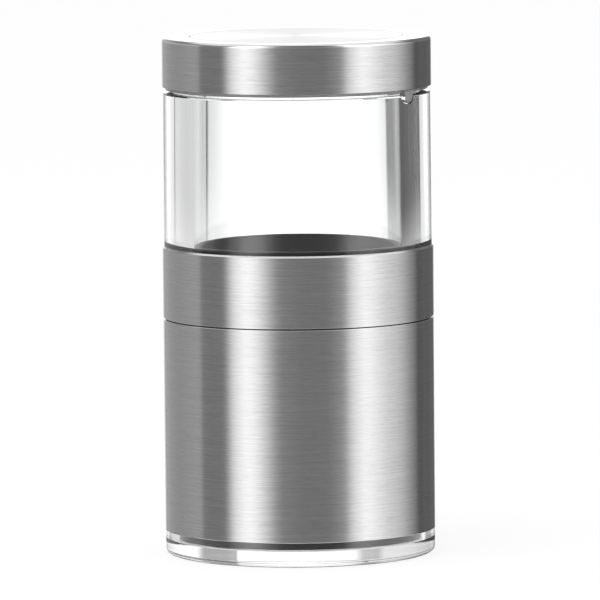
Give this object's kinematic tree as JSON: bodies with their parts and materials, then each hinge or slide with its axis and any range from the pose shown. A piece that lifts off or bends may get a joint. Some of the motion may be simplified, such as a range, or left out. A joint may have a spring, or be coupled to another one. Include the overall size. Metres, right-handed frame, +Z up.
{
  "type": "herb mill",
  "caption": "Hand-turned herb mill: steel sleeve on a clear foot cap, turning steel collar with a clear hopper, spring-loaded cutter inside, and a steel lid that pulls off.",
  "frame": {"origin": "centre of the foot's flat underside, where the mill stands on the table", "axes": "+Z up along the axis of the mill, -Y towards the front, +X to the right as the front is seen"},
  "size_m": [0.06, 0.06, 0.1145],
  "materials": {
    "clear_acrylic": "thick clear acrylic, moulded and polished",
    "brushed_steel": "stainless steel, brushed round the axis, with polished edges",
    "blade_steel": "stainless steel, ground and tumbled",
    "fastener_steel": "machined stainless steel",
    "milky_plastic": "natural translucent polypropylene with a satin skin",
    "black_plastic": "black moulded plastic with a fine satin texture",
    "grey_nylon": "glass-filled nylon, dark grey",
    "bronze": "oil-soaked sintered bronze",
    "black_rubber": "food-grade black rubber cord"
  },
  "bodies": {
    "foot": {"foot_cap": "clear_acrylic", "foot_seal": "black_rubber"},
    "base": {"sleeve": "brushed_steel", "base_housing": "black_plastic", "cutting_plate": "blade_steel", "plate_screws": "fastener_steel", "shaft_bush": "bronze", "glide_ring": "grey_nylon"},
    "hopper": {"collar": "brushed_steel", "hopper_tube": "clear_acrylic", "hopper_funnel": "black_plastic", "tube_seal": "black_rubber", "neck_seal": "black_rubber", "hopper_carrier": "black_plastic", "drive_spider": "grey_nylon", "spider_screws": "fastener_steel", "drive_shaft": "fastener_steel", "shaft_clip": "fastener_steel", "thrust_washer": "fastener_steel", "lock_nut": "fastener_steel"},
    "rotor": {"cutting_rotor": "blade_steel", "feed_wing": "grey_nylon", "rotor_spring": "fastener_steel"},
    "lid": {"lid_shell": "brushed_steel", "lid_disc": "brushed_steel", "lid_liner": "milky_plastic"}
  },
  "joints": [
    {"name": "foot_release", "type": "slide", "parent": "foot", "child": "base", "axis": [0, 0, 1], "range_m": [0, 0.03]},
    {"name": "hopper_turn", "type": "hinge", "parent": "base", "child": "hopper", "pos_m": [0, 0, 0.0523], "axis": [0, 0, 1], "continuous": true},
    {"name": "rotor_float", "type": "slide", "parent": "hopper", "child": "rotor", "axis": [0, 0, 1], "range_m": [0, 0.0008], "stiffness_N_per_m": 300, "springref_m": -0.01, "deforming": ["rotor_spring"]},
    {"name": "lid_lift", "type": "slide", "parent": "hopper", "child": "lid", "axis": [0, 0, 1], "range_m": [0, 0.03]}
  ]
}
